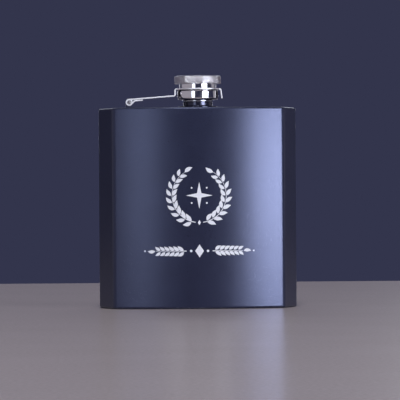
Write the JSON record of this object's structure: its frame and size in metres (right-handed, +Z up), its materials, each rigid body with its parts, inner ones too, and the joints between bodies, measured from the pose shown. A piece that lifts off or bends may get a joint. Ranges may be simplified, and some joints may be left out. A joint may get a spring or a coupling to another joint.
{
  "type": "hip flask",
  "caption": "Curved pocket flask in dark coated sheet steel, with a threaded neck and a knurled screw cap held by a hinged swing arm.",
  "frame": {"origin": "on the base the flask stands on, in the middle of its width and depth", "axes": "+X to the right seen from the bulged front, away from the hinge; +Y towards the hollow back; +Z up through the neck"},
  "size_m": [0.095, 0.028, 0.1112],
  "materials": {
    "powder_coat": "fine-grained matte powder coat",
    "gloss_coat": "smooth gloss black coat",
    "polished_steel": "mirror-polished stainless steel",
    "pin_steel": "bright drawn pin",
    "liner_rubber": "matte moulded sealing disc",
    "etched_steel": "matte bare steel where the coat is etched away"
  },
  "bodies": {
    "flask": {"front_shell": "powder_coat", "back_shell": "powder_coat", "top_plate": "powder_coat", "base_plate": "powder_coat", "filler_neck": "gloss_coat", "hinge_bracket": "powder_coat", "hinge_pin": "pin_steel"},
    "arm": {"swing_arm": "polished_steel", "cap_collar": "polished_steel"},
    "liner": {"cap_liner": "liner_rubber"},
    "cap": {"cap_body": "polished_steel", "cap_head": "polished_steel"}
  },
  "joints": [
    {"name": "arm_swing", "type": "hinge", "parent": "flask", "child": "arm", "pos_m": [-0.0329, -0.00224, 0.0986], "axis": [0, -1, 0], "range_deg": [0, 175]},
    {"name": "cap_lift", "type": "slide", "parent": "arm", "child": "liner", "axis": [0, 0, 1], "range_m": [0, 0.00225]},
    {"name": "cap_turn", "type": "hinge", "parent": "liner", "child": "cap", "pos_m": [0, -0.00224, 0.104], "axis": [0, 0, 1], "range_deg": [0, 540]}
  ],
  "couplings": [
    {"joint": "cap_lift", "follows": "cap_turn", "m_per_rad": 0.0002387}
  ]
}
